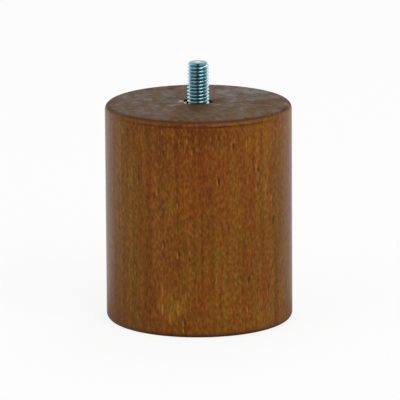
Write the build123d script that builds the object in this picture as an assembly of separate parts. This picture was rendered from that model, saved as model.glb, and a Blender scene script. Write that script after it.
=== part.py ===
from build123d import *
from math import atan2, cos, degrees, radians, sin, tan
import os

# Bed foot: a turned wooden cylinder that a bed frame stands on, with a hanger bolt
# screwed up to its shank into the top. Millimetres, +Z up, floor at z = 0.

# Turned wooden body
body_diameter = 68.0
body_height = 80.0
top_round = 2.2
floor_chamfer = 1.4

# Machine-thread end of the hanger bolt, M8 x 1.25, drawn at its outside diameter
stud_diameter = 8.0
stud_reach = 15.0
stud_sunk = 5.0
stud_chamfer = 0.9

# Plain shank between the two threads, and the cones that lead from it to either thread
shank_diameter = 7.1
shank_length = 10.0
shank_cone = 0.5

# Wood-thread end: coarse, right-handed, sharp-crested, with a threaded point
crest_diameter = 8.0
core_diameter = 5.6
thread_length = 20.0
thread_pitch = 3.6
flank_angle = 30.0
point_length = 8.0
point_bare_length = 0.6
point_tip_diameter = 0.6
fade_length = 1.8
neck_length = 1.2

# Hole in the top of the body
mouth_clearance = 1.0
mouth_spare_depth = 1.0
mouth_chamfer = 0.4
screw_clearance = 0.05

# How deep the thread's ridge is rooted in the core, and how far under the core's surface it fades out
ridge_root = 0.6
ridge_sunk = 0.3

body_radius = body_diameter / 2
stud_radius = stud_diameter / 2
shank_radius = shank_diameter / 2
crest_radius = crest_diameter / 2
core_radius = core_diameter / 2
mouth_radius = stud_radius + mouth_clearance

stud_top_z = body_height + stud_reach
stud_end_z = body_height - stud_sunk
mouth_floor_z = stud_end_z - mouth_spare_depth
thread_top_z = stud_end_z - shank_length
tip_z = thread_top_z - thread_length

FROM_BASE = (Align.CENTER, Align.CENTER, Align.MIN)


def turned(*outline):
    """A solid of revolution about Z from (radius, height) points."""
    return revolve(Plane.XZ * make_face(Polyline(*outline, close=True)), Axis.Z)


def ridge_outline(crest, grow, share=1.0):
    """The ridge cut along the axis: its root, crest and other root as (radius, lift) points."""
    flank = radians(flank_angle)
    root = core_radius - ridge_root
    top = crest + grow / sin(flank)
    half_root = (top - root) * tan(flank)
    corners = [(root, -half_root), (top, 0), (root, half_root)]
    return [(share * radius, share * lift) for radius, lift in corners]


def ridge_edge(lower_z, lower, upper_z, upper):
    """The helix that one corner follows between two heights, conical where its radius changes."""
    start_z = lower_z + lower[1]
    rise = upper_z + upper[1] - start_z
    cone_angle = atan2(upper[0] - lower[0], rise)
    pitch_along_cone = rise * thread_pitch / (upper_z - lower_z) / cos(cone_angle)
    helix = Edge.make_helix(pitch_along_cone, rise, lower[0], angle=degrees(cone_angle))
    return Pos(0, 0, start_z) * Rot(0, 0, 360 * lower_z / thread_pitch) * helix


def ridge_end(edges, end):
    """The flat face that closes the ridge where its edges start (0) or stop (1)."""
    corners = [edge @ end for edge in edges]
    return make_face(Polyline(*corners, close=True)).face()


def thread_ridge(grow):
    """The ridge alone: it rises from the point, winds up the core and fades into it below the neck."""
    tip_share = point_tip_diameter / core_diameter
    first_share = tip_share + (1 - tip_share) * point_bare_length / point_length
    full = ridge_outline(crest_radius, grow)
    fade_top = thread_length - neck_length
    stations = [
        (point_bare_length - grow, ridge_outline(crest_radius, grow, first_share)),
        (point_length, full),
        (fade_top - fade_length, full),
        (fade_top, ridge_outline(core_radius - ridge_sunk, grow)),
    ]
    faces = []
    stretches = []
    for (lower_z, lower), (upper_z, upper) in zip(stations, stations[1:]):
        edges = [ridge_edge(lower_z, low, upper_z, high) for low, high in zip(lower, upper)]
        for edge, neighbour in zip(edges, edges[1:] + edges[:1]):
            faces.append(Face.make_surface_from_curves(edge, neighbour))
        stretches.append(edges)
    faces.append(ridge_end(stretches[0], 0))
    faces.append(ridge_end(stretches[-1], 1))
    return Solid(Shell(faces))


def wood_screw(grow=0.0):
    """Core, point and coarse thread, grown all over by grow where it is the hole that they fill."""
    core = turned(
        (0, -grow),
        (point_tip_diameter / 2 + grow, -grow),
        (core_radius + grow, point_length),
        (core_radius + grow, thread_length - shank_cone),
        (shank_radius + grow, thread_length),
        (0, thread_length),
    )
    return Pos(0, 0, tip_z) * (core + thread_ridge(grow))


def make_hanger_bolt():
    """Double-ended screw: machine thread up, shank, coarse thread with a point down."""
    upper_end = turned(
        (0, thread_top_z),
        (shank_radius, thread_top_z),
        (shank_radius, stud_end_z),
        (stud_radius, stud_end_z + shank_cone),
        (stud_radius, stud_top_z - stud_chamfer),
        (stud_radius - stud_chamfer, stud_top_z),
        (0, stud_top_z),
    )
    return wood_screw() + upper_end


def make_wooden_foot():
    """Turned cylinder, rounded at the top and chamfered at the floor, bored for the hanger bolt."""
    body = Cylinder(body_radius, body_height, align=FROM_BASE)
    body = fillet(body.edges().group_by(Axis.Z)[-1], top_round)
    body = chamfer(body.edges().group_by(Axis.Z)[0], floor_chamfer)
    bore_radius = shank_radius + screw_clearance
    bore = turned(
        (0, thread_top_z),
        (bore_radius, thread_top_z),
        (bore_radius, mouth_floor_z),
        (mouth_radius, mouth_floor_z),
        (mouth_radius, body_height - mouth_chamfer),
        (mouth_radius + mouth_chamfer, body_height),
        (0, body_height),
    )
    return body - (bore + wood_screw(screw_clearance))


os.makedirs("parts", exist_ok=True)
export_step(make_wooden_foot(), "parts/wooden_foot.step")
export_step(make_hanger_bolt(), "parts/hanger_bolt.step")
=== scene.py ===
from math import cos, degrees, floor, hypot, pi, radians, sin, tan, tau

import bmesh
import bpy
from bpy.props import FloatProperty, FloatVectorProperty, IntProperty, PointerProperty
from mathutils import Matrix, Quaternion, Vector


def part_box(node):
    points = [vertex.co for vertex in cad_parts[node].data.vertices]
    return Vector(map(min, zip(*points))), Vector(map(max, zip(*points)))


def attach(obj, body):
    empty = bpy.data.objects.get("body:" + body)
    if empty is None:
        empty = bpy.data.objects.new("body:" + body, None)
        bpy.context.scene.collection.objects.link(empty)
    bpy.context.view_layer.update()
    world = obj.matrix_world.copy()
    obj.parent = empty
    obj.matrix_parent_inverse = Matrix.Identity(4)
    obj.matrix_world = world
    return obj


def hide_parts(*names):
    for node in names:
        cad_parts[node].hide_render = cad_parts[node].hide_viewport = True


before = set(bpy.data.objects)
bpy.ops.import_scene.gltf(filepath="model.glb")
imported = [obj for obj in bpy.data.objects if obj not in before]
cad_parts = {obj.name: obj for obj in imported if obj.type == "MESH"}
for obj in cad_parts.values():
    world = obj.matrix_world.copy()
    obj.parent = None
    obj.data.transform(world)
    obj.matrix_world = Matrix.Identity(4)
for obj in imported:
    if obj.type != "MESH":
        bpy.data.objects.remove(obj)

bl_info = {
    "name": "Turned bed foot",
    "version": (1, 0, 0),
    "blender": (4, 5, 0),
    "location": "3D View > Sidebar > Bed foot",
    "description": "Builds a stained wooden bed foot with its hanger bolt, and a studio stage for it",
    "category": "Object",
}

# Corners of the two packed solids' boxes, in metres, with the floor at z = 0
WOOD_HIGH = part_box("wooden_foot")[1]
BOLT_LOW, BOLT_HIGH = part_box("hanger_bolt")
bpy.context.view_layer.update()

ROOT_BODY = "root"

# Points nearer than this are one point, and edges bent by more than these angles stay sharp
MERGE_DISTANCE = 2e-7
WOOD_SHARP = radians(35)
STEEL_SHARP = radians(32)

# Steps along the rounds of the rims, rows of faces up the side and segments of the floor disc
FLOOR_RIM_STEPS = 10
HALF_RIM_STEPS = 6
SIDE_ROWS = 6
FLOOR_SEGMENTS = 128

# Half the angle between both threads' flanks, and the depth of a metric thread in pitches
FLANK_ANGLE = radians(30)
METRIC_DEPTH = 0.6134

# Grid lines above the middle of a crest, in half widths of the coarse ridge and in machine pitches
COARSE_STEPS = (0, 0.3, 0.6, 0.85, 1.0, 1.25)
MACHINE_STEPS = (0, 0.035, 0.075, 0.125, 0.22, 0.34, 0.40, 0.45)

# Torn places round the mouth, later ones over earlier ones: direction in degrees counter-clockwise
# from +X, half width in degrees, reach outwards and rise above the top in metres, and how it looks
# The dark places are deep notches coloured with the bored wood's painted shade
TORN_EDGE = (
    (270, 100, -0.00065, 0.00018, "stained"),
    (203, 13, 0.0005, -0.0002, "dark"),
    (135, 19, 0.0019, -0.0001, "dark"),
    (165, 13, 0.0019, 0.0005, "pale"),
    (186, 11, -0.0009, 0.0003, "pale"),
    (28, 20, 0.0007, -0.0001, "dark"),
)

# Share of a torn place's width that has its full reach, and the shares of the reach at its crest and
# at its underside
TORN_CORE = 0.4
CREST_REACH = 0.85
UNDER_REACH = 0.8

# Raggedness of the mouth's edge: two counts of waves round it, and its reach and rise in metres
RAGGED_WAVES = (29, 11)
RAGGED_REACH = 0.00012
RAGGED_RISE = 0.00006

# Layers of the long grain: stretch along Z, shift of the pattern, scale, detail and weight in the tone
GRAIN = {
    "fibres": (0.44, (0.3, 0.1, 0), 1350, 2.0, 0.96),
    "lines": (0.03, (0.8, 0.3, 0.2), 480, 1.0, 0.40),
    "bands": (0.05, (0.2, 0.9, 0), 170, 2.0, 0.32),
    "clouds": (0.6, (0.5, 0.4, 0.1), 45, 2.0, 0.25),
}

# Spots in the long grain: stretch along Z, shift of the pattern, scale, size in cells and share of
# cells without a spot. The pale ones have the large ones' pattern and lie a little aside of them.
FLECKS = {
    "small": (0.32, (0.6, 0.2, 0.5), 950, 0.36, 0.45),
    "large": (0.30, (0.9, 0.6, 0.1), 560, 0.34, 0.68),
    "pale": (0.30, (0.9005, 0.6, 0.1002), 560, 0.30, 0.68),
    "dashes": (0.20, (0.2, 0.5, 0.8), 700, 0.50, 0.0),
}

# Share of a spot's size that has its full strength, strength of the small and of the pale spots, and
# how deep the dark ones lie beside the fibres
FLECK_CORE = 0.4
SMALL_STRENGTH = 0.65
PALE_STRENGTH = 0.8
FLECK_DEPTH = 0.6

# Most that the olive and the red hue cover
HUE_SHARE = 0.75

# Clouds and streaks of colour on the front half: centre and radii in metres, strength and stain
CLOUDS = (
    ((-0.005, -0.034, 0.079), (0.026, 0.03, 0.030), 0.9, "stain_deep"),
    ((0.000, -0.034, 0.060), (0.013, 0.02, 0.018), 0.5, "stain_red"),
    ((-0.0095, -0.033, 0.012), (0.007, 0.01, 0.009), 0.9, "stain_gold"),
    ((0.0035, -0.034, 0.047), (0.0012, 0.01, 0.018), 0.6, "stain_red"),
    ((0.031, -0.012, 0.038), (0.009, 0.020, 0.055), 0.9, "stain_olive"),
    ((-0.028, -0.018, 0.045), (0.016, 0.026, 0.065), 0.85, "stain_olive"),
)

# Where the front took little stain and shows pale dashes: centre and radii in metres
PALE_PATCH = ((-0.0095, -0.033, 0.013), (0.007, 0.01, 0.012))

# Growth rings on the top: the axis as seen from the pith, ring width and waver in metres, and the
# weight of the rings and of the pores in the tone
AXIS_FROM_PITH = (0.021, 0.034, 0)
RING_WIDTH = 0.0031
RING_WAVER = 0.006
RING_WEIGHT = 0.07
PORE_WEIGHT = 0.5

# Where lacquer stands on the top, and where it soaked in: centre and radii in metres, change of the noise
POOLS = (
    ((0.015, 0.016, 0.080), (0.022, 0.017, 0.01), -0.14),
    ((-0.016, 0.012, 0.080), (0.016, 0.014, 0.01), -0.06),
    ((0.000, -0.030, 0.080), (0.034, 0.014, 0.01), 0.10),
    ((0.025, -0.002, 0.080), (0.009, 0.012, 0.01), 0.12),
)

# Painted shade: dark lines along the top rim, in radii of its round: depth below the top and half width
UPPER_LINE = (0.24, 0.26)
LOWER_LINE = (1.02, 0.28)

# The lower line fades sideways: where the fading starts and ends, in metres, and the shares left there
LINE_FADE = (0.014, 0.030, 1.0, 0.25)

# Painted shade at the floor rim: how high it reaches in radii of the rim's round, and its strength
FLOOR_RIM_SHADE = (1.5, 0.6)

# Depth of the bumps in metres
WOOD_BUMP = 0.0002
STEEL_BUMP = 0.0001

# How much the bands change the lacquer's roughness, and the grain the plating's
GLOSS_SPREAD = 0.12
POLISH_SPREAD = 0.16

# Specular level of the lacquered side, the end grain and wood without lacquer
SIDE_SHINE = 0.18
END_SHINE = 0.21
BARE_SHINE = 0.2

# How far the passivation is rubbed off the crests, and how bright the painted highlight on the stud's end is
RUBBED_SHARE = 0.7
HIGHLIGHT_SHARE = 0.8

# Roughness of the drilled and of the torn wood
BORE_ROUGHNESS = 0.8
TORN_ROUGHNESS = 0.9

# Lightness of the floor's paint
FLOOR_WHITE = 0.86

# How far backwards a level reflection points where the dark front starts to give way to the sides, and
# where it has given way
FRONT_EDGE = (-0.95, -0.76)

# Gap between the ceiling's soft boxes: how far right its middle lies, and its half width
GAP_BAND = (-0.045, 0.15)

# How far backwards the ceiling starts to grow bright and has grown bright, and its shares of brightness
CEILING_BACK = (-0.3, 0.3, 0.15, 1.0)

# How far upwards the walls start to give way to the ceiling, and have given way
CEILING_START = (0.3, 0.75)

# Soft lamps: azimuth from the camera's side and elevation in degrees, distance and size in metres,
# and power in watts
LAMPS = (
    ("soft_key", 35, 40, 1.4, 0.9, 8.0),
    ("soft_fill", -50, 35, 1.5, 1.0, 2.6),
    ("back_fill", 170, 50, 1.6, 1.0, 4.0),
)


def length(name, description, default):
    """A length property in metres."""
    return FloatProperty(name=name, description=description, default=default, min=0.0,
                         subtype="DISTANCE", unit="LENGTH", precision=5)


def share(name, description, default):
    """A property without a unit, from 0 to 1."""
    return FloatProperty(name=name, description=description, default=default, min=0.0, max=1.0)


def colour(name, description, default):
    """A linear colour property."""
    return FloatVectorProperty(name=name, description=description, default=default, size=3,
                               subtype="COLOR", min=0.0, max=1.0)


class WoodSizes(bpy.types.PropertyGroup):
    """Sizes and colours of the turned body."""

    top_round: length("Top round", "Radius of the rounded top rim", 0.0022)
    floor_round: length("Floor round", "Radius of the rounded rim at the floor", 0.0022)
    mouth_radius: length("Mouth radius", "Radius of the drilled mouth round the stud", 0.005)
    mouth_depth: length("Mouth depth", "Depth of the drilled mouth", 0.006)
    mouth_chamfer: length("Mouth chamfer", "Width of the chamfer round the mouth", 0.0004)
    notch_depth: length("Notch depth", "How deep the dark notches in the mouth's edge are", 0.0032)
    torn_depth: length("Torn depth", "How deep the mouth's wall is torn", 0.0042)
    clearance: length("Screw clearance", "Gap between the screw and the wood", 0.00005)
    segments: IntProperty(name="Segments", description="Segments round the body", default=240, min=24)
    stain: colour("Stain", "Stained wood along the grain", (0.184, 0.0570, 0.0024))
    # The dark stain also colours the painted shade along the top rim and the floor rim
    dark_stain_and_rim_shade: colour("Dark stain", "Stain that has gathered in flecks and pores", (0.078, 0.0200, 0.0014))
    stain_light: colour("Light stain", "Fibres that took little stain", (0.350, 0.1540, 0.0220))
    stain_red: colour("Red stain", "Reddish streaks and clouds", (0.193, 0.0460, 0.0030))
    stain_deep: colour("Deep stain", "Stain that ran in from the end grain", (0.122, 0.0240, 0.0008))
    stain_olive: colour("Olive stain", "Yellowish clouds", (0.156, 0.0670, 0.0035))
    stain_gold: colour("Golden stain", "Places that took less stain", (0.235, 0.0980, 0.0070))
    end_stain: colour("End stain", "Stained end grain on the top", (0.132, 0.0580, 0.0140))
    end_dark: colour("Dark end stain", "Deepest stain on the end grain", (0.062, 0.0275, 0.0080))
    end_pool: colour("Pooled end stain", "End grain under standing lacquer", (0.050, 0.0330, 0.0130))
    # Painted shade: a near-black colour for the inside of the drilled hole, where its shade falls
    bore_painted_shade: colour("Bore stain", "Stain that ran into the drilled hole", (0.007, 0.0035, 0.0018))
    raw_wood: colour("Bare wood", "Wood that the stain didn't reach", (0.68, 0.58, 0.46))
    gloss: share("Lacquer roughness", "Roughness of the lacquered side", 0.34)
    end_smooth: share("Smooth end", "Roughness where lacquer stands on the end grain", 0.42)
    end_rough: share("Rough end", "Roughness where the end grain soaked the lacquer up", 0.85)


class BoltSizes(bpy.types.PropertyGroup):
    """Sizes and colours of the hanger bolt."""

    stud_sunk: length("Stud sunk", "Length of machine thread below the wood's top", 0.005)
    stud_pitch: length("Stud pitch", "Pitch of the machine thread", 0.00125)
    stud_chamfer: length("Stud chamfer", "Width of the chamfer on the stud's end", 0.0009)
    crest_round: length("Crest rounding", "How rounded the machine thread's crests are", 0.00016)
    shank_radius: length("Shank radius", "Radius of the plain shank", 0.00355)
    shank_length: length("Shank length", "Length of the plain shank", 0.010)
    shank_cone: length("Shank cone", "Length of the cone from the core to the shank", 0.0005)
    core_radius: length("Core radius", "Radius under the coarse thread", 0.0028)
    thread_pitch: length("Thread pitch", "Pitch of the coarse thread", 0.0036)
    point_length: length("Point length", "Length of the tapered point", 0.008)
    point_bare: length("Bare point", "Length of the point's end without thread", 0.0006)
    tip_radius: length("Tip radius", "Radius of the flat on the point's end", 0.0003)
    fade_length: length("Fade length", "Length over which the coarse thread fades out", 0.0018)
    neck_length: length("Neck length", "Plain core between the coarse thread and the shank", 0.0012)
    segments: IntProperty(name="Segments", description="Segments round the bolt", default=96, min=24)
    zinc: colour("Zinc", "Clear bluish passivated zinc", (0.27, 0.59, 0.70))
    zinc_dull: colour("Dull zinc", "Patches where the passivation is thicker", (0.20, 0.48, 0.56))
    # The rubbed zinc also colours the painted highlight on the stud's end, and the end's own colour is
    # painted darker as its dark reflection
    zinc_bare_and_highlight: colour("Rubbed zinc", "Crests, where the passivation is rubbed off", (0.72, 0.86, 0.92))
    zinc_end_reflection: colour("Cropped end", "The end, where the bar was cropped", (0.13, 0.27, 0.29))
    end_highlight: length("Centre mark", "Radius of the bright mark in the middle of the end", 0.0009)
    polish: share("Roughness", "Roughness of the plating", 0.22)


class StageSettings(bpy.types.PropertyGroup):
    """Camera, surroundings and floor."""

    elevation: FloatProperty(name="Elevation", description="Height of the camera above the horizon",
                             default=radians(12.85), subtype="ANGLE", unit="ROTATION")
    roll: FloatProperty(name="Roll", description="Clockwise turn of the camera about its own axis",
                        default=radians(0.36), subtype="ANGLE", unit="ROTATION")
    distance: length("Distance", "From the camera to the point it looks at", 2.04)
    lens: FloatProperty(name="Lens", description="Focal length for a 36 mm sensor", default=502.97)
    aim_side: length("Aim side", "How far right of the foot's axis the camera looks", 0.000402)
    aim_rise: length("Aim rise", "How far the picture's centre lies above the body's middle", 0.0035)
    floor_radius: length("Floor radius", "Radius of the floor disc", 1.5)
    floor_shade: share("Floor shade", "How much of the floor's own shading the camera sees", 0.15)
    ambient: share("Ambient", "Strength of the even light from all round", 0.62)
    front_glow: share("Front glow", "Brightness of the front in reflections, where the camera stands", 0.08)
    side_glow: share("Side glow", "Brightness of the sides in reflections", 0.36)
    left_glow: share("Left glow", "How much brighter the left is than the middle in reflections", 0.10)
    ceiling_glow: share("Ceiling glow", "Brightness of the ceiling in reflections", 0.95)
    ceiling_gap: share("Ceiling gap", "Brightness of the gap between the ceiling's soft boxes", 0.02)


# Meshes


def ring_points(radius, height, segments):
    """Points of one level ring, counter-clockwise seen from above."""
    return [Vector((radius * cos(tau * i / segments), radius * sin(tau * i / segments), height))
            for i in range(segments)]


def add_ring(mesh, points):
    """Adds one ring's vertices."""
    return [mesh.verts.new(point) for point in points]


def bridge(mesh, lower, upper, material=0):
    """Faces between two rings of as many vertices, in one material or in one for each face."""
    materials = [material] * len(lower) if isinstance(material, int) else material
    for i, vertex in enumerate(lower):
        j = (i + 1) % len(lower)
        face = mesh.faces.new((vertex, lower[j], upper[j], upper[i]))
        face.material_index = materials[i]


def lathe(mesh, outline, segments, material=0):
    """A skin turned from (radius, height) points. Returns its first ring."""
    rings = [add_ring(mesh, ring_points(radius, height, segments)) for radius, height in outline]
    for lower, upper in zip(rings, rings[1:]):
        bridge(mesh, lower, upper, material)
    return rings[0]


def cap(mesh, ring, material=0):
    """Closes a ring with a fan about its centre."""
    centre = mesh.verts.new(sum((vertex.co for vertex in ring), Vector()) / len(ring))
    for i, vertex in enumerate(ring):
        face = mesh.faces.new((vertex, ring[(i + 1) % len(ring)], centre))
        face.material_index = material


def arc(centre, radius, start, end, steps):
    """(radius, height) points on an arc about a centre, angles in radians from the outward direction."""
    angles = [start + (end - start) * i / steps for i in range(steps + 1)]
    return [(centre[0] + radius * cos(a), centre[1] + radius * sin(a)) for a in angles]


def threaded_skin(mesh, bottom, top, pitch, lifts, radius_at, segments, material=0):
    """A right-handed threaded skin between two heights, on a grid that follows the helix.

    lifts are the heights of the grid's lines within one turn, and radius_at(height, lift) gives the
    radius at a height, lift being how far that point lies above the middle of the nearest crest.
    """
    turns = range(floor(bottom / pitch) - 2, floor(top / pitch) + 2)
    starts = [turn * pitch + lift for turn in turns for lift in lifts]
    columns = []
    for i in range(segments + 1):
        angle = tau * i / segments
        rise = pitch * i / segments
        column = []
        for start in starts:
            height = min(max(start + rise, bottom), top)
            lift = (height - rise + pitch / 2) % pitch - pitch / 2
            radius = radius_at(height, lift)
            column.append(mesh.verts.new((radius * cos(angle), radius * sin(angle), height)))
        columns.append(column)
    for left, right in zip(columns, columns[1:]):
        for k in range(len(starts) - 1):
            corners = (left[k], right[k], right[k + 1], left[k + 1])
            if len({tuple(vertex.co) for vertex in corners}) > 2:
                mesh.faces.new(corners).material_index = material


def finish_mesh(mesh, name, materials, sharp_angle):
    """Merges the seams, turns the faces outwards and makes the object."""
    bmesh.ops.remove_doubles(mesh, verts=mesh.verts, dist=MERGE_DISTANCE)
    bmesh.ops.dissolve_degenerate(mesh, edges=mesh.edges, dist=MERGE_DISTANCE)
    loose = [vertex for vertex in mesh.verts if not vertex.link_faces]
    bmesh.ops.delete(mesh, geom=loose, context="VERTS")
    bmesh.ops.recalc_face_normals(mesh, faces=mesh.faces)
    data = bpy.data.meshes.new(name)
    mesh.to_mesh(data)
    mesh.free()
    data.shade_smooth()
    data.set_sharp_from_angle(angle=sharp_angle)
    for material in materials:
        data.materials.append(material)
    piece = bpy.data.objects.new(name, data)
    bpy.context.scene.collection.objects.link(piece)
    return piece


def smooth_step(low, high, value):
    """0 below low, 1 above high, and a smooth rise between them."""
    t = min(max((value - low) / (high - low), 0.0), 1.0)
    return t * t * (3 - 2 * t)


def coarse_thread(sizes, top, grow):
    """radius_at for the coarse thread whose upper end is at a height, grown all over by grow."""
    tip = BOLT_LOW.z
    crest_radius = BOLT_HIGH.x
    fade_top = top - sizes.neck_length

    def radius_at(height, lift):
        along = height - tip
        taper = min(max(along / sizes.point_length, 0.0), 1.0)
        core = sizes.tip_radius + (sizes.core_radius - sizes.tip_radius) * taper
        neck = min(max((height - top + sizes.shank_cone) / sizes.shank_cone, 0.0), 1.0)
        core += (sizes.shank_radius - sizes.core_radius) * neck
        crest = crest_radius * core / sizes.core_radius if neck == 0 else core
        strength = smooth_step(0.0, 2 * sizes.point_bare, along)
        strength *= 1 - smooth_step(fade_top - sizes.fade_length, fade_top, height)
        crest = core + (crest - core) * strength
        ridge = crest - abs(lift) / tan(FLANK_ANGLE)
        return max(core + grow, ridge + grow / sin(FLANK_ANGLE) * min(1.0, strength))

    return radius_at


def whole_turn(rising, pitch):
    """Grid lines of a whole turn, from the lines between the middle of a crest and half a pitch."""
    return rising + [pitch / 2] + [pitch - lift for lift in reversed(rising[1:])]


def coarse_lifts(sizes):
    """The coarse thread's grid lines: the crest, the feet of both flanks and some between them."""
    foot = (BOLT_HIGH.x - sizes.core_radius) * tan(FLANK_ANGLE)
    return whole_turn([foot * step for step in COARSE_STEPS], sizes.thread_pitch)


# Shader nodes


class Nodes:
    """Short calls for adding nodes to one node tree."""

    def __init__(self, tree):
        self.tree = tree
        tree.nodes.clear()

    def add(self, kind, inputs=None, **settings):
        """Adds a node. inputs hold a value or a socket to link by the name or number of each input."""
        node = self.tree.nodes.new(kind)
        for name, value in settings.items():
            setattr(node, name, value)
        for socket, value in (inputs or {}).items():
            if isinstance(value, bpy.types.NodeSocket):
                self.tree.links.new(value, node.inputs[socket])
            else:
                node.inputs[socket].default_value = value
        return node

    def place(self):
        """The object's own coordinates, in metres."""
        return self.add("ShaderNodeTexCoord").outputs["Object"]

    def parts(self, vector):
        """A vector's three parts."""
        return self.add("ShaderNodeSeparateXYZ", {0: vector}).outputs

    def distance(self, vector):
        """A vector's length."""
        return self.add("ShaderNodeVectorMath", {0: vector}, operation="LENGTH").outputs["Value"]

    def calculate(self, operation, first, second=0.0, third=0.0):
        """One Math node."""
        inputs = {0: first, 1: second, 2: third}
        return self.add("ShaderNodeMath", inputs, operation=operation).outputs[0]

    def vary(self, noise, amount, middle):
        """A middle value that a noise moves up and down."""
        return self.calculate("MULTIPLY_ADD", self.calculate("SUBTRACT", noise, 0.5), amount, middle)

    def mix(self, factor, first, second):
        """One colour Mix node."""
        inputs = {"Factor": factor, 6: first, 7: second}
        return self.add("ShaderNodeMix", inputs, data_type="RGBA").outputs[2]

    def blend(self, factor, first, second):
        """One value Mix node."""
        inputs = {0: factor, 2: first, 3: second}
        return self.add("ShaderNodeMix", inputs, data_type="FLOAT").outputs[0]

    def remap(self, value, low, high, to_low=0.0, to_high=1.0, smooth=False):
        """One clamped Map Range node."""
        kind = "SMOOTHSTEP" if smooth else "LINEAR"
        inputs = {0: value, 1: low, 2: high, 3: to_low, 4: to_high}
        return self.add("ShaderNodeMapRange", inputs, interpolation_type=kind).outputs[0]

    def stretched(self, vector, scale, offset=(0, 0, 0)):
        """Coordinates scaled along each axis and moved."""
        inputs = {"Vector": vector, "Scale": scale, "Location": offset}
        return self.add("ShaderNodeMapping", inputs).outputs[0]

    def noise(self, vector, scale, detail=2.0, roughness=0.5):
        """One Noise Texture's value."""
        inputs = {"Vector": vector, "Scale": scale, "Detail": detail, "Roughness": roughness}
        return self.add("ShaderNodeTexNoise", inputs).outputs[0]

    def band(self, value, centre, half_width):
        """1 where the value is at the centre, falling smoothly to 0 at half the width to either side."""
        away = self.calculate("ABSOLUTE", self.calculate("SUBTRACT", value, centre))
        return self.remap(away, half_width, 0.0, smooth=True)

    def spot(self, vector, centre, radii):
        """1 at a centre, falling smoothly to 0 on an ellipsoid round it."""
        offset = self.add("ShaderNodeVectorMath", {0: vector, 1: centre}, operation="SUBTRACT").outputs[0]
        shares = self.add("ShaderNodeVectorMath", {0: offset, 1: radii}, operation="DIVIDE").outputs[0]
        return self.remap(self.distance(shares), 1.0, 0.0, smooth=True)

    def flecks(self, vector, stretch, shift, scale, size, bare_share):
        """Scattered spots of uneven strength, longer along Z. bare_share of the cells stay without one."""
        inputs = {"Vector": self.stretched(vector, (1, 1, stretch), shift), "Scale": scale}
        cells = self.add("ShaderNodeTexVoronoi", inputs).outputs
        chance = self.add("ShaderNodeSeparateColor", {0: cells["Color"]}).outputs[0]
        fleck = self.remap(cells["Distance"], size, FLECK_CORE * size, smooth=True)
        return self.calculate("MULTIPLY", fleck, self.remap(chance, bare_share, 1.0))

    def surface(self, relief, strength, depth, inputs):
        """The shader with its bump, as the material's surface."""
        bump = self.add("ShaderNodeBump", {"Strength": strength, "Distance": depth, "Height": relief})
        shader = self.add("ShaderNodeBsdfPrincipled", {**inputs, "Normal": bump.outputs[0]})
        self.add("ShaderNodeOutputMaterial", {0: shader.outputs[0]})


def new_material(name):
    """An empty material, and the calls for adding its nodes."""
    material = bpy.data.materials.new(name)
    material.use_nodes = True
    return material, Nodes(material.node_tree)


def opaque(values):
    """A colour with the alpha that a socket wants."""
    return (*values, 1.0)


def side_colour(n, wood, place):
    """Stained long grain: fibres, bands, clouds of colour, dark flecks and pale dashes."""
    hue = n.noise(n.stretched(place, (1, 1, 0.35), (0.1, 0.7, 0.4)), 190, 3.0, 0.6)
    skin = n.mix(n.remap(hue, 0.50, 0.66, 0.0, HUE_SHARE), opaque(wood.stain), opaque(wood.stain_olive))
    skin = n.mix(n.remap(hue, 0.47, 0.32, 0.0, HUE_SHARE), skin, opaque(wood.stain_red))
    for centre, radii, strength, stain in CLOUDS:
        cloud = n.calculate("MULTIPLY", n.spot(place, centre, radii), strength)
        skin = n.mix(cloud, skin, opaque(getattr(wood, stain)))

    layers = {}
    tone = 0.5
    for name, (stretch, shift, scale, detail, weight) in GRAIN.items():
        layers[name] = n.noise(n.stretched(place, (1, 1, stretch), shift), scale, detail)
        tone = n.vary(layers[name], weight, tone)
    skin = n.mix(n.remap(tone, 0.5, 0.1), skin, opaque(wood.dark_stain_and_rim_shade))
    skin = n.mix(n.remap(tone, 0.5, 1.1), skin, opaque(wood.stain_light))

    flecks = {name: n.flecks(place, *settings) for name, settings in FLECKS.items()}
    skin = n.mix(n.calculate("MULTIPLY", flecks["pale"], PALE_STRENGTH), skin, opaque(wood.stain_light))
    patch = n.remap(n.spot(place, *PALE_PATCH), 0.0, 0.35)
    dashes = n.calculate("MULTIPLY", flecks["dashes"], patch)
    skin = n.mix(n.remap(dashes, 0.1, 0.7), skin, opaque(wood.stain_light))
    small = n.calculate("MULTIPLY", flecks["small"], SMALL_STRENGTH)
    dark = n.calculate("MAXIMUM", small, flecks["large"])
    skin = n.mix(dark, skin, opaque(wood.dark_stain_and_rim_shade))
    relief = n.calculate("MULTIPLY_ADD", dark, -FLECK_DEPTH, layers["fibres"])
    return skin, relief, layers["bands"]


def end_colour(n, wood, place):
    """Stained end grain: blotches and the growth rings, with grey places where the lacquer stands."""
    blotches = n.noise(n.stretched(place, (1, 0.8, 1), (0.4, 0.2, 0)), 170, 4.0, 0.65)
    pores = n.noise(place, 1500, roughness=0.6)
    waver = n.noise(place, 60, 1.0)
    from_pith = n.distance(n.stretched(place, (1, 1, 0), AXIS_FROM_PITH))
    ring_radius = n.calculate("MULTIPLY_ADD", waver, RING_WAVER, from_pith)
    rings = n.calculate("SINE", n.calculate("MULTIPLY", ring_radius, tau / RING_WIDTH))
    tone = n.calculate("MULTIPLY_ADD", rings, RING_WEIGHT, blotches)
    tone = n.vary(pores, PORE_WEIGHT, tone)
    skin = n.mix(n.remap(tone, 0.30, 0.60), opaque(wood.end_dark), opaque(wood.end_stain))
    skin = n.mix(n.remap(tone, 0.60, 0.80), skin, opaque(wood.stain_olive))

    pools = n.noise(n.stretched(place, (1, 0.7, 1), (0.7, 0.1, 0.3)), 270, 4.0, 0.68)
    for centre, radii, change in POOLS:
        pools = n.calculate("MULTIPLY_ADD", n.spot(place, centre, radii), change, pools)
    soaked = n.remap(pools, 0.33, 0.64)
    return n.mix(soaked, opaque(wood.end_pool), skin), pores, soaked


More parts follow.
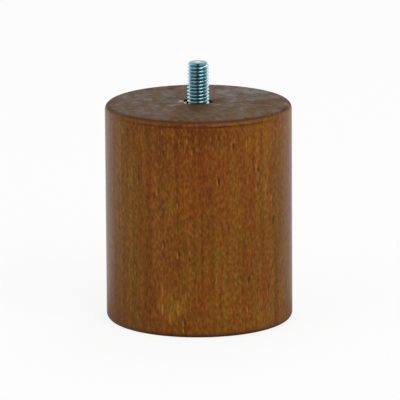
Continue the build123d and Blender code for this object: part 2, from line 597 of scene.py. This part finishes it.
def rim_line(n, wood, height, line):
    """One dark line of painted shade along the top rim."""
    depth, half_width = line
    return n.band(height, WOOD_HIGH.z - depth * wood.top_round, half_width * wood.top_round)


def rim_shade(n, wood, place):
    """Share of painted shade: two dark lines along the top rim, the lower one uneven, and a dark floor rim.
    """
    sideways, _, height = n.parts(place)
    faded = n.remap(n.calculate("ABSOLUTE", sideways), *LINE_FADE, smooth=True)
    uneven = n.remap(n.noise(place, 130), 0.35, 0.6, 0.55, 1.0)
    upper = rim_line(n, wood, height, UPPER_LINE)
    lower = rim_line(n, wood, height, LOWER_LINE)
    lower = n.calculate("MULTIPLY", lower, n.calculate("MULTIPLY", faded, uneven))
    reach, strength = FLOOR_RIM_SHADE
    floor_rim = n.remap(height, reach * wood.floor_round, 0.0, 0.0, strength, smooth=True)
    return n.calculate("MAXIMUM", n.calculate("MAXIMUM", upper, lower), floor_rim)


def stained_wood(wood, name, shine):
    """Brown stained, lacquered hardwood whose fibres run along Z."""
    material, n = new_material(name)
    place = n.place()
    upright = n.parts(n.add("ShaderNodeNewGeometry").outputs["Normal"])[2]
    end_grain = n.remap(n.calculate("ABSOLUTE", upright), 0.2, 0.9, smooth=True)

    side, relief, bands = side_colour(n, wood, place)
    end, pores, soaked = end_colour(n, wood, place)
    skin = n.mix(end_grain, side, end)
    # Painted shade along the top rim and the floor rim, in the dark stain's colour
    skin = n.mix(rim_shade(n, wood, place), skin, opaque(wood.dark_stain_and_rim_shade))

    gloss = n.vary(bands, GLOSS_SPREAD, wood.gloss)
    end_gloss = n.blend(soaked, wood.end_smooth, wood.end_rough)
    roughness = n.blend(end_grain, gloss, end_gloss)
    grain = n.blend(end_grain, relief, pores)
    looks = {"Base Color": skin, "Roughness": roughness, "Specular IOR Level": shine}
    n.surface(grain, 0.15, WOOD_BUMP, looks)
    return material


def bored_wood(wood):
    """Wood inside the drilled hole, painted near-black as the hole's shade and mixed with the dark end
    stain.
    """
    material, n = new_material("bored_wood")
    place = n.place()
    fibres = n.noise(n.stretched(place, (1, 1, 0.2)), 1500)
    tool_marks = n.noise(n.stretched(place, (0.2, 0.2, 1)), 2500, 1.0)
    tone = n.remap(n.calculate("MULTIPLY_ADD", tool_marks, 0.4, fibres), 0.5, 1.3)
    # Painted shade: the inside of the hole is mixed from near-black and the dark end stain
    skin = n.mix(tone, opaque(wood.bore_painted_shade), opaque(wood.end_dark))
    looks = {"Base Color": skin, "Roughness": BORE_ROUGHNESS, "Specular IOR Level": BARE_SHINE}
    n.surface(fibres, 0.4, WOOD_BUMP, looks)
    return material


def torn_wood(wood):
    """Pale fibres where the drill tore the mouth's edge."""
    material, n = new_material("torn_fibres")
    fibres = n.noise(n.stretched(n.place(), (1, 1, 0.3)), 2400)
    skin = n.mix(n.remap(fibres, 0.34, 0.5), opaque(wood.stain), opaque(wood.raw_wood))
    looks = {"Base Color": skin, "Roughness": TORN_ROUGHNESS, "Specular IOR Level": BARE_SHINE}
    n.surface(fibres, 0.6, WOOD_BUMP, looks)
    return material


def zinc_plating(bolt):
    """Bluish passivated zinc on rolled steel."""
    material, n = new_material("blue_passivated_zinc")
    place = n.place()
    cloud = n.noise(place, 420)
    grain = n.noise(n.stretched(place, (1, 1, 0.5)), 6000)
    skin = n.mix(n.remap(cloud, 0.4, 0.66), opaque(bolt.zinc), opaque(bolt.zinc_dull))
    across = n.distance(n.stretched(place, (1, 1, 0)))
    height = n.parts(place)[2]
    rolled = BOLT_HIGH.x - bolt.crest_round
    crest = n.remap(across, rolled - 1.5 * bolt.crest_round, rolled, 0.0, RUBBED_SHARE, smooth=True)
    # Painted reflection on the stud's end: a darker colour, with a bright painted highlight in its middle
    end = n.remap(height, BOLT_HIGH.z - 0.4 * bolt.stud_chamfer, BOLT_HIGH.z)
    mark = n.remap(across, 1.8 * bolt.end_highlight, 0.6 * bolt.end_highlight, 0.0, HIGHLIGHT_SHARE, smooth=True)
    skin = n.mix(crest, skin, opaque(bolt.zinc_bare_and_highlight))
    skin = n.mix(end, skin, opaque(bolt.zinc_end_reflection))
    skin = n.mix(n.calculate("MULTIPLY", mark, end), skin, opaque(bolt.zinc_bare_and_highlight))
    roughness = n.vary(grain, POLISH_SPREAD, bolt.polish)
    n.surface(grain, 0.12, STEEL_BUMP, {"Base Color": skin, "Metallic": 1.0, "Roughness": roughness})
    return material


def room_glow(n, stage, vector):
    """Brightness in reflections by direction: dark in front, grey at the sides and white behind."""
    flat = n.stretched(vector, (1, 1, 0))
    level = n.add("ShaderNodeVectorMath", {0: flat}, operation="NORMALIZE").outputs[0]
    rightwards, backwards, _ = n.parts(level)
    front = n.remap(backwards, *FRONT_EDGE, stage.front_glow, stage.side_glow, smooth=True)
    back = n.remap(backwards, 0.0, 1.0, 0.0, 1 - stage.side_glow, smooth=True)
    lopsided = n.calculate("MULTIPLY_ADD", rightwards, -stage.left_glow, 1.0)
    return n.calculate("MULTIPLY", n.calculate("ADD", front, back), lopsided)


def floor_material(stage):
    """White floor that keeps part of its own shading, and is darker in reflections towards the front."""
    material, n = new_material("white_floor")
    path = n.add("ShaderNodeLightPath").outputs
    position = n.add("ShaderNodeNewGeometry").outputs["Position"]
    mirrored = n.calculate("MAXIMUM", path["Is Glossy Ray"], path["Is Transmission Ray"])
    strength = n.blend(mirrored, 1.0, room_glow(n, stage, position))
    plain = n.calculate("MULTIPLY", path["Is Camera Ray"], 1 - stage.floor_shade)
    plain = n.calculate("MAXIMUM", plain, mirrored)
    paint = n.add("ShaderNodeBsdfDiffuse", {"Color": opaque([FLOOR_WHITE] * 3)}).outputs[0]
    white = n.add("ShaderNodeEmission", {"Color": (1, 1, 1, 1), "Strength": strength}).outputs[0]
    floor_look = n.add("ShaderNodeMixShader", {0: plain, 1: paint, 2: white}).outputs[0]
    n.add("ShaderNodeOutputMaterial", {0: floor_look})
    return material


# Operators


class BEDFOOT_OT_wooden_foot(bpy.types.Operator):
    """Turned body with its rims, drilled mouth and threaded hole"""

    bl_idname = "bedfoot.wooden_foot"
    bl_label = "Wooden foot"

    SIDE, END, BORE, TORN = range(4)

    def execute(self, context):
        wood = context.scene.bed_foot_wood
        bolt = context.scene.bed_foot_bolt
        mesh = bmesh.new()
        self.add_outside(mesh, wood)
        self.add_mouth(mesh, wood)
        self.add_bore(mesh, wood, bolt)
        materials = [
            stained_wood(wood, "stained_long_grain", SIDE_SHINE),
            stained_wood(wood, "stained_end_grain", END_SHINE),
            bored_wood(wood),
            torn_wood(wood),
        ]
        piece = finish_mesh(mesh, "turned_wooden_foot", materials, WOOD_SHARP)
        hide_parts("wooden_foot")
        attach(piece, ROOT_BODY)
        return {"FINISHED"}

    def add_outside(self, mesh, wood):
        """Underside, floor rim, side and top rim."""
        radius = WOOD_HIGH.x
        height = WOOD_HIGH.z
        rim_centre = (radius - wood.top_round, height - wood.top_round)
        foot_centre = (radius - wood.floor_round, wood.floor_round)
        floor_rim = arc(foot_centre, wood.floor_round, -pi / 2, 0, FLOOR_RIM_STEPS)
        floor_ring = lathe(mesh, floor_rim, wood.segments, self.SIDE)
        cap(mesh, floor_ring, self.END)
        side = [(radius, wood.floor_round + (rim_centre[1] - wood.floor_round) * i / SIDE_ROWS)
                for i in range(SIDE_ROWS)]
        side += arc(rim_centre, wood.top_round, 0, pi / 4, HALF_RIM_STEPS)
        lathe(mesh, side, wood.segments, self.SIDE)
        top_rim = arc(rim_centre, wood.top_round, pi / 4, pi / 2, HALF_RIM_STEPS)
        lathe(mesh, top_rim, wood.segments, self.END)

    def torn_at(self, angle):
        """Reach, rise and look of the mouth's edge in a direction, with a little raggedness."""
        reach, rise, look = 0.0, 0.0, "dark"
        for direction, half_width, place_reach, place_rise, place_look in TORN_EDGE:
            away = abs((degrees(angle) - direction + 180) % 360 - 180) / half_width
            weight = 1 - smooth_step(TORN_CORE, 1.0, away)
            reach += (place_reach - reach) * weight
            rise += (place_rise - rise) * weight
            look = place_look if weight > 0.5 else look
        fine, coarse = RAGGED_WAVES
        ragged = sin(fine * angle) * sin(coarse * angle + 1)
        return reach + RAGGED_REACH * ragged, rise + RAGGED_RISE * ragged, look

    def add_mouth(self, mesh, wood):
        """Flat top round the mouth, and the mouth's torn edge and wall."""
        around = wood.segments
        top = WOOD_HIGH.z
        torn = [self.torn_at(tau * i / around) for i in range(around)]
        # Dark places take the bored wood, painted near-black as shade
        looks = {"stained": self.END, "dark": self.BORE, "pale": self.TORN}
        kinds = [looks[look] for _, _, look in torn]
        radius = wood.mouth_radius
        chamfer = wood.mouth_chamfer
        rim = add_ring(mesh, ring_points(WOOD_HIGH.x - wood.top_round, top, around))
        foot = self.torn_ring(mesh, [(radius + chamfer + max(reach, 0.0), top) for reach, _, _ in torn])
        crest = self.torn_ring(mesh, [(radius + CREST_REACH * reach, top + rise) for reach, rise, _ in torn])
        depths = [wood.notch_depth if look == "dark" else chamfer for _, _, look in torn]
        under = self.torn_ring(mesh, [(radius + UNDER_REACH * reach, top - depth)
                                      for (reach, _, _), depth in zip(torn, depths)])
        wall = add_ring(mesh, ring_points(radius, top - wood.torn_depth, around))
        mouth_floor = add_ring(mesh, ring_points(radius, top - wood.mouth_depth, around))
        bridge(mesh, rim, foot, self.END)
        bridge(mesh, foot, crest, kinds)
        bridge(mesh, crest, under, kinds)
        bridge(mesh, under, wall, self.BORE)
        bridge(mesh, wall, mouth_floor, self.BORE)

    def torn_ring(self, mesh, outline):
        """A ring with a (radius, height) of its own in each direction."""
        points = ring_points(1.0, 0.0, len(outline))
        for point, (radius, height) in zip(points, outline):
            point.xyz = (point.x * radius, point.y * radius, height)
        return add_ring(mesh, points)

    def add_bore(self, mesh, wood, bolt):
        """Step under the mouth, bore for the shank and the thread that the screw cut."""
        around = wood.segments
        mouth_floor = WOOD_HIGH.z - wood.mouth_depth
        thread_top = WOOD_HIGH.z - bolt.stud_sunk - bolt.shank_length
        thread_low = BOLT_LOW.z - wood.clearance
        bore_radius = bolt.shank_radius + wood.clearance
        tip_radius = bolt.tip_radius + wood.clearance
        bore = [(wood.mouth_radius, mouth_floor), (bore_radius, mouth_floor), (bore_radius, thread_top)]
        lathe(mesh, bore, around, self.BORE)
        threaded_skin(mesh, thread_low, thread_top, bolt.thread_pitch, coarse_lifts(bolt),
                      coarse_thread(bolt, thread_top, wood.clearance), around, self.BORE)
        cap(mesh, add_ring(mesh, ring_points(tip_radius, thread_low, around)), self.BORE)


class BEDFOOT_OT_hanger_bolt(bpy.types.Operator):
    """Double-ended screw with a machine thread above and a coarse wood thread below"""

    bl_idname = "bedfoot.hanger_bolt"
    bl_label = "Hanger bolt"

    def execute(self, context):
        bolt = context.scene.bed_foot_bolt
        around = bolt.segments
        stud_end = WOOD_HIGH.z - bolt.stud_sunk
        thread_top = stud_end - bolt.shank_length
        mesh = bmesh.new()
        threaded_skin(mesh, BOLT_LOW.z, thread_top, bolt.thread_pitch, coarse_lifts(bolt),
                      coarse_thread(bolt, thread_top, 0.0), around)
        lathe(mesh, [(bolt.shank_radius, thread_top), (bolt.shank_radius, stud_end)], around)
        lifts, radius_at = self.machine_thread(bolt, stud_end)
        threaded_skin(mesh, stud_end, BOLT_HIGH.z, bolt.stud_pitch, lifts, radius_at, around)
        end_radius = BOLT_HIGH.x - bolt.stud_chamfer
        cap(mesh, add_ring(mesh, ring_points(end_radius, BOLT_HIGH.z, around)))
        cap(mesh, add_ring(mesh, ring_points(bolt.tip_radius, BOLT_LOW.z, around)))
        piece = finish_mesh(mesh, "plated_hanger_bolt", [zinc_plating(bolt)], STEEL_SHARP)
        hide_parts("hanger_bolt")
        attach(piece, ROOT_BODY)
        return {"FINISHED"}

    def machine_thread(self, bolt, bottom):
        """Grid lines and radius_at of the rolled machine thread: 60 degree flanks and rounded crests."""
        pitch = bolt.stud_pitch
        crest_radius = BOLT_HIGH.x
        root_radius = crest_radius - METRIC_DEPTH * pitch
        slope = 1 / tan(FLANK_ANGLE)
        rounding = bolt.crest_round
        lifts = whole_turn([pitch * step for step in MACHINE_STEPS], pitch)

        def radius_at(height, lift):
            crest = crest_radius + rounding - hypot(lift * slope, rounding)
            thread = max(root_radius, crest)
            run_out = smooth_step(bottom, bottom + pitch, height)
            radius = bolt.shank_radius + (thread - bolt.shank_radius) * run_out
            return min(radius, crest_radius - bolt.stud_chamfer + (BOLT_HIGH.z - height))

        return lifts, radius_at


class BEDFOOT_OT_stage(bpy.types.Operator):
    """Camera, soft lamps, white surroundings and white floor"""

    bl_idname = "bedfoot.stage"
    bl_label = "Stage"

    def execute(self, context):
        stage = context.scene.bed_foot_stage
        context.scene.view_settings.view_transform = "Standard"
        self.add_camera(context, stage)
        self.add_floor(stage)
        self.add_surroundings(context, stage)
        for lamp in LAMPS:
            self.add_lamp(context, *lamp)
        return {"FINISHED"}

    def add_camera(self, context, stage):
        """A long lens that looks slightly down on the foot."""
        data = bpy.data.cameras.new("photo_camera")
        data.sensor_width = 36
        data.lens = stage.lens
        data.clip_end = 100
        camera = bpy.data.objects.new("photo_camera", data)
        context.scene.collection.objects.link(camera)
        back = Vector((0, -cos(stage.elevation), sin(stage.elevation)))
        up = Vector((0, sin(stage.elevation), cos(stage.elevation)))
        aim = Vector((stage.aim_side, 0, WOOD_HIGH.z / 2)) + up * stage.aim_rise
        camera.location = aim + back * stage.distance
        camera.rotation_mode = "QUATERNION"
        camera.rotation_quaternion = (-back).to_track_quat("-Z", "Y") @ Quaternion((0, 0, 1), -stage.roll)
        context.scene.camera = camera

    def add_floor(self, stage):
        """A round white floor under the foot."""
        mesh = bmesh.new()
        cap(mesh, add_ring(mesh, ring_points(stage.floor_radius, 0.0, FLOOR_SEGMENTS)))
        floor_piece = finish_mesh(mesh, "studio_floor", [floor_material(stage)], pi)

    def add_surroundings(self, context, stage):
        """White to the camera, a soft gradient in reflections and an even light otherwise."""
        world = bpy.data.worlds.new("studio")
        world.use_nodes = True
        context.scene.world = world
        n = Nodes(world.node_tree)
        path = n.add("ShaderNodeLightPath").outputs
        towards = n.add("ShaderNodeTexCoord").outputs["Generated"]
        rightwards, backwards, upwards = n.parts(towards)
        ceiling = n.blend(n.band(rightwards, *GAP_BAND), stage.ceiling_glow, stage.ceiling_gap)
        ceiling = n.calculate("MULTIPLY", ceiling, n.remap(backwards, *CEILING_BACK, smooth=True))
        overhead = n.remap(upwards, *CEILING_START, smooth=True)
        reflected = n.blend(overhead, room_glow(n, stage, towards), ceiling)
        strength = n.blend(path["Is Glossy Ray"], stage.ambient, reflected)
        strength = n.blend(path["Is Camera Ray"], strength, 1.0)
        light = n.add("ShaderNodeBackground", {"Color": (1, 1, 1, 1), "Strength": strength})
        n.add("ShaderNodeOutputWorld", {0: light.outputs[0]})

    def add_lamp(self, context, name, azimuth, elevation, distance, size, power):
        """A square soft lamp that points at the body's middle."""
        data = bpy.data.lights.new(name, "AREA")
        data.size = size
        data.energy = power
        lamp = bpy.data.objects.new(name, data)
        context.scene.collection.objects.link(lamp)
        a, e = radians(azimuth), radians(elevation)
        towards = Vector((sin(a) * cos(e), -cos(a) * cos(e), sin(e)))
        lamp.location = Vector((0, 0, WOOD_HIGH.z / 2)) + towards * distance
        lamp.rotation_mode = "QUATERNION"
        lamp.rotation_quaternion = (-towards).to_track_quat("-Z", "Y")


class BEDFOOT_PT_panel(bpy.types.Panel):
    """Buttons and settings in the sidebar"""

    bl_idname = "BEDFOOT_PT_panel"
    bl_label = "Bed foot"
    bl_space_type = "VIEW_3D"
    bl_region_type = "UI"
    bl_category = "Bed foot"

    def draw(self, context):
        layout = self.layout
        for operator in OPERATORS:
            layout.operator(operator.bl_idname)
        for holder, group in SETTINGS.items():
            box = layout.box()
            box.label(text=group.__doc__)
            for name in group.__annotations__:
                box.prop(getattr(context.scene, holder), name)


OPERATORS = (BEDFOOT_OT_wooden_foot, BEDFOOT_OT_hanger_bolt, BEDFOOT_OT_stage)
SETTINGS = {"bed_foot_wood": WoodSizes, "bed_foot_bolt": BoltSizes, "bed_foot_stage": StageSettings}
CLASSES = (*SETTINGS.values(), *OPERATORS, BEDFOOT_PT_panel)


def register():
    """Adds the classes and the settings that every scene holds."""
    for kind in CLASSES:
        bpy.utils.register_class(kind)
    for holder, group in SETTINGS.items():
        setattr(bpy.types.Scene, holder, PointerProperty(type=group))


def unregister():
    """Takes the settings and the classes away again."""
    for holder in SETTINGS:
        delattr(bpy.types.Scene, holder)
    for kind in reversed(CLASSES):
        bpy.utils.unregister_class(kind)


def main():
    """Builds every piece and the stage."""
    register()
    bpy.ops.bedfoot.wooden_foot()
    bpy.ops.bedfoot.hanger_bolt()
    bpy.ops.bedfoot.stage()


if __name__ == "__main__":
    main()
